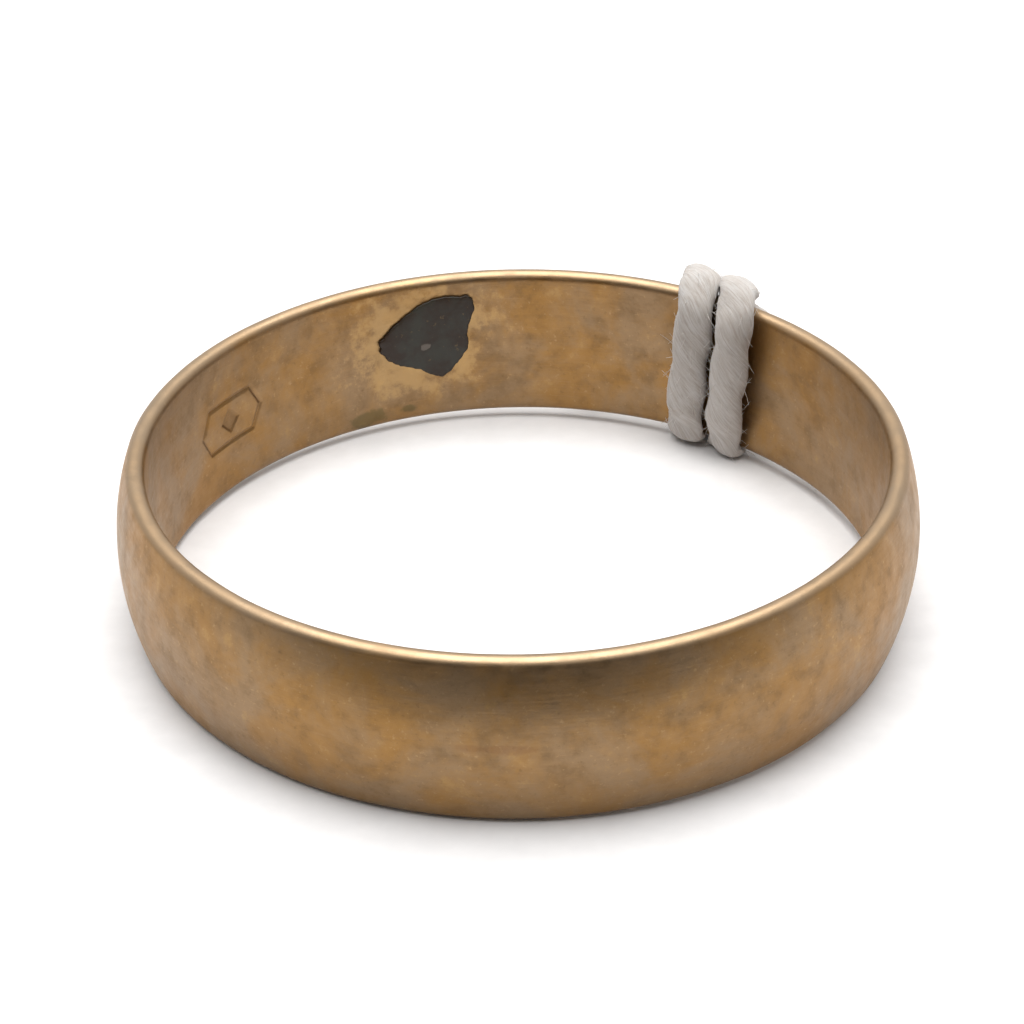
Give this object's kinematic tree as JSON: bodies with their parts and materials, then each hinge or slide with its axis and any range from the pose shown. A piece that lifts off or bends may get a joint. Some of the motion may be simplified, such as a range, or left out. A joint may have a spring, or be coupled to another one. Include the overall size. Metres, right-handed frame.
{
  "type": "wedding band",
  "caption": "Plain D-section wedding band, domed outside and flat inside, with a soft thread tied round its wall and a dark resin spot inside.",
  "frame": {"origin": "centre of the finger bore, at the middle of the band's width", "axes": "+Z along the bore axis; +X and +Y across the bore, with the thread tied 51 degrees from +X towards +Y"},
  "size_m": [0.0184, 0.0194, 0.0049],
  "materials": {
    "worn_gold": "worn satin gold with a thin uneven tarnish",
    "dark_resin": "glossy hardened resin",
    "cotton_thread": "two-ply twisted cotton, slightly fuzzy"
  },
  "bodies": {
    "ring": {"band": "worn_gold", "resin_spot": "dark_resin"},
    "tie": {"tie_thread": "cotton_thread", "tie_knot": "cotton_thread", "thread_end_left": "cotton_thread", "thread_end_right": "cotton_thread"}
  },
  "joints": [
    {"name": "tie_slide", "type": "hinge", "parent": "ring", "child": "tie", "pos_m": [0, 0, 0], "axis": [0, 0, 1], "continuous": true}
  ]
}
